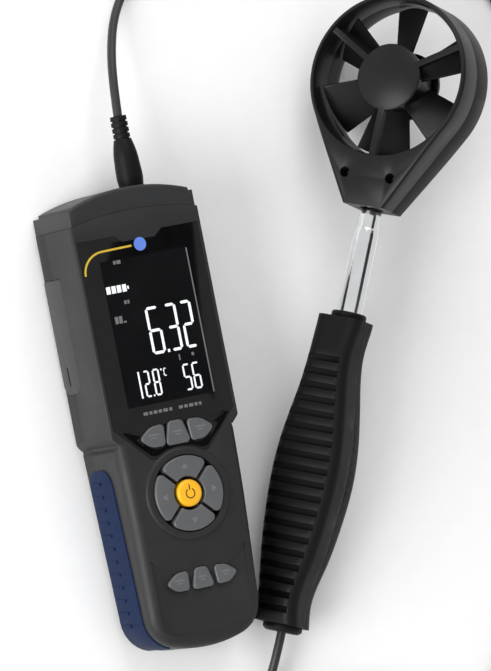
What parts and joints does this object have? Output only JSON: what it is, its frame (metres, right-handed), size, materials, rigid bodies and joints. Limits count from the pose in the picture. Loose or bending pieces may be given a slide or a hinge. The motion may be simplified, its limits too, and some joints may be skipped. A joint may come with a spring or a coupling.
{
  "type": "handheld vane anemometer",
  "caption": "Hand-held vane anemometer: a meter with display and keypad, joined by a cord to a vane probe whose wind wheel sits on a telescoping mast and ribbed handle.",
  "frame": {"origin": "middle of the meter's back face, which lies on the table", "axes": "+X to the meter's right seen from its display, +Y along the meter towards the plug end, +Z out of the display"},
  "size_m": [0.2602, 0.3969, 0.0758],
  "materials": {
    "case": "fine-grained charcoal moulded plastic",
    "cap": "smooth dark grey moulded plastic",
    "lens": "polished black clear-fronted display panel",
    "lcd": "dark segment display glass",
    "white_plastic": "plain white moulding",
    "black_plastic": "plain black moulding",
    "board": "green solder-masked board",
    "key_grey": "grey silicone rubber, satin",
    "key_yellow": "yellow silicone rubber, satin",
    "grip": "navy-blue soft over-moulding",
    "flap": "charcoal soft rubber",
    "steel": "plain zinc-plated steel",
    "nickel": "nickel-plated metal",
    "gold": "gold-plated contacts",
    "mast": "polished chromed tube",
    "battery_can": "painted steel can",
    "cord": "matte black flexible jacket",
    "handle": "satin black grippy plastic",
    "head": "satin black moulded plastic",
    "vane": "thin satin black moulded vanes",
    "black_steel": "black-oxide steel",
    "bearing": "sintered bronze cup"
  },
  "bodies": {
    "meter_and_handle": {"front_cover": "case", "rear_cover": "case", "top_cap": "cap", "display_lens": "lens", "lcd_glass": "lcd", "lcd_backlight": "white_plastic", "lcd_frame": "white_plastic", "main_board": "board", "board_chips": "black_plastic", "keypad_mat": "key_grey", "side_grip_left": "grip", "side_grip_right": "grip", "side_board": "board", "usb_socket": "nickel", "power_jack": "black_plastic", "probe_socket": "black_plastic", "battery": "battery_can", "battery_connector": "black_plastic", "case_screws": "steel", "plug_body": "handle", "plug_boot": "handle", "plug_shell": "nickel", "plug_pins": "gold", "cord_meter_end": "cord", "cord_coil": "cord", "cord_tie": "cord", "cord_probe_end": "cord", "handle_front": "handle", "handle_rear": "handle", "handle_collar": "handle", "handle_end_cap": "handle", "mast_clamp": "handle", "mast_outer": "mast"},
    "key_upper_left": {"key_upper_left": "key_grey"},
    "key_upper_middle": {"key_upper_middle": "key_grey"},
    "key_upper_right": {"key_upper_right": "key_grey"},
    "key_ring_up": {"key_ring_up": "key_grey"},
    "key_ring_right": {"key_ring_right": "key_grey"},
    "key_ring_down": {"key_ring_down": "key_grey"},
    "key_ring_left": {"key_ring_left": "key_grey"},
    "key_centre": {"key_centre": "key_yellow"},
    "key_lower_left": {"key_lower_left": "key_grey"},
    "key_lower_middle": {"key_lower_middle": "key_grey"},
    "key_lower_right": {"key_lower_right": "key_grey"},
    "port_cover": {"port_cover": "flap"},
    "battery_door": {"battery_door": "case", "battery_door_screw": "steel"},
    "mast_middle": {"mast_middle": "mast"},
    "mast_inner": {"mast_inner": "mast"},
    "vane_head": {"mast_tip": "mast", "head_front": "head", "head_rear": "head", "bearing_front": "bearing", "bearing_rear": "bearing", "sensor_board": "board", "head_screws": "black_steel"},
    "vane_wheel": {"impeller": "vane", "impeller_shaft": "steel"}
  },
  "joints": [
    {"name": "key_upper_left_press", "type": "slide", "parent": "meter_and_handle", "child": "key_upper_left", "axis": [0, 0, -1], "range_m": [0, 0.001], "stiffness_N_per_m": 300, "springref_m": -0.003},
    {"name": "key_upper_middle_press", "type": "slide", "parent": "meter_and_handle", "child": "key_upper_middle", "axis": [0, 0, -1], "range_m": [0, 0.001], "stiffness_N_per_m": 300, "springref_m": -0.003},
    {"name": "key_upper_right_press", "type": "slide", "parent": "meter_and_handle", "child": "key_upper_right", "axis": [0, 0, -1], "range_m": [0, 0.001], "stiffness_N_per_m": 300, "springref_m": -0.003},
    {"name": "key_ring_up_press", "type": "slide", "parent": "meter_and_handle", "child": "key_ring_up", "axis": [0, 0, -1], "range_m": [0, 0.001], "stiffness_N_per_m": 300, "springref_m": -0.003},
    {"name": "key_ring_right_press", "type": "slide", "parent": "meter_and_handle", "child": "key_ring_right", "axis": [0, 0, -1], "range_m": [0, 0.001], "stiffness_N_per_m": 300, "springref_m": -0.003},
    {"name": "key_ring_down_press", "type": "slide", "parent": "meter_and_handle", "child": "key_ring_down", "axis": [0, 0, -1], "range_m": [0, 0.001], "stiffness_N_per_m": 300, "springref_m": -0.003},
    {"name": "key_ring_left_press", "type": "slide", "parent": "meter_and_handle", "child": "key_ring_left", "axis": [0, 0, -1], "range_m": [0, 0.001], "stiffness_N_per_m": 300, "springref_m": -0.003},
    {"name": "key_centre_press", "type": "slide", "parent": "meter_and_handle", "child": "key_centre", "axis": [0, 0, -1], "range_m": [0, 0.001], "stiffness_N_per_m": 300, "springref_m": -0.003},
    {"name": "key_lower_left_press", "type": "slide", "parent": "meter_and_handle", "child": "key_lower_left", "axis": [0, 0, -1], "range_m": [0, 0.001], "stiffness_N_per_m": 300, "springref_m": -0.003},
    {"name": "key_lower_middle_press", "type": "slide", "parent": "meter_and_handle", "child": "key_lower_middle", "axis": [0, 0, -1], "range_m": [0, 0.001], "stiffness_N_per_m": 300, "springref_m": -0.003},
    {"name": "key_lower_right_press", "type": "slide", "parent": "meter_and_handle", "child": "key_lower_right", "axis": [0, 0, -1], "range_m": [0, 0.001], "stiffness_N_per_m": 300, "springref_m": -0.003},
    {"name": "port_cover_hinge", "type": "hinge", "parent": "meter_and_handle", "child": "port_cover", "pos_m": [-0.03105, 0.06725, 0.01125], "axis": [0, 0, -1], "range_deg": [0, 90]},
    {"name": "battery_door_slide", "type": "slide", "parent": "meter_and_handle", "child": "battery_door", "axis": [0, 0, -1], "range_m": [0, 0.04]},
    {"name": "mast_middle_slide", "type": "slide", "parent": "meter_and_handle", "child": "mast_middle", "axis": [0.3887, 0.9156, 0.1028], "range_m": [0, 0.11]},
    {"name": "mast_inner_slide", "type": "slide", "parent": "mast_middle", "child": "mast_inner", "axis": [0.3887, 0.9156, 0.1028], "range_m": [0, 0.11]},
    {"name": "mast_tip_slide", "type": "slide", "parent": "mast_inner", "child": "vane_head", "axis": [0.3887, 0.9156, 0.1028], "range_m": [0, 0.11]},
    {"name": "impeller_spin", "type": "hinge", "parent": "vane_head", "child": "vane_wheel", "pos_m": [0.14359, 0.12632, 0.03801], "axis": [-0.7501, 0.2496, 0.6124], "continuous": true}
  ]
}
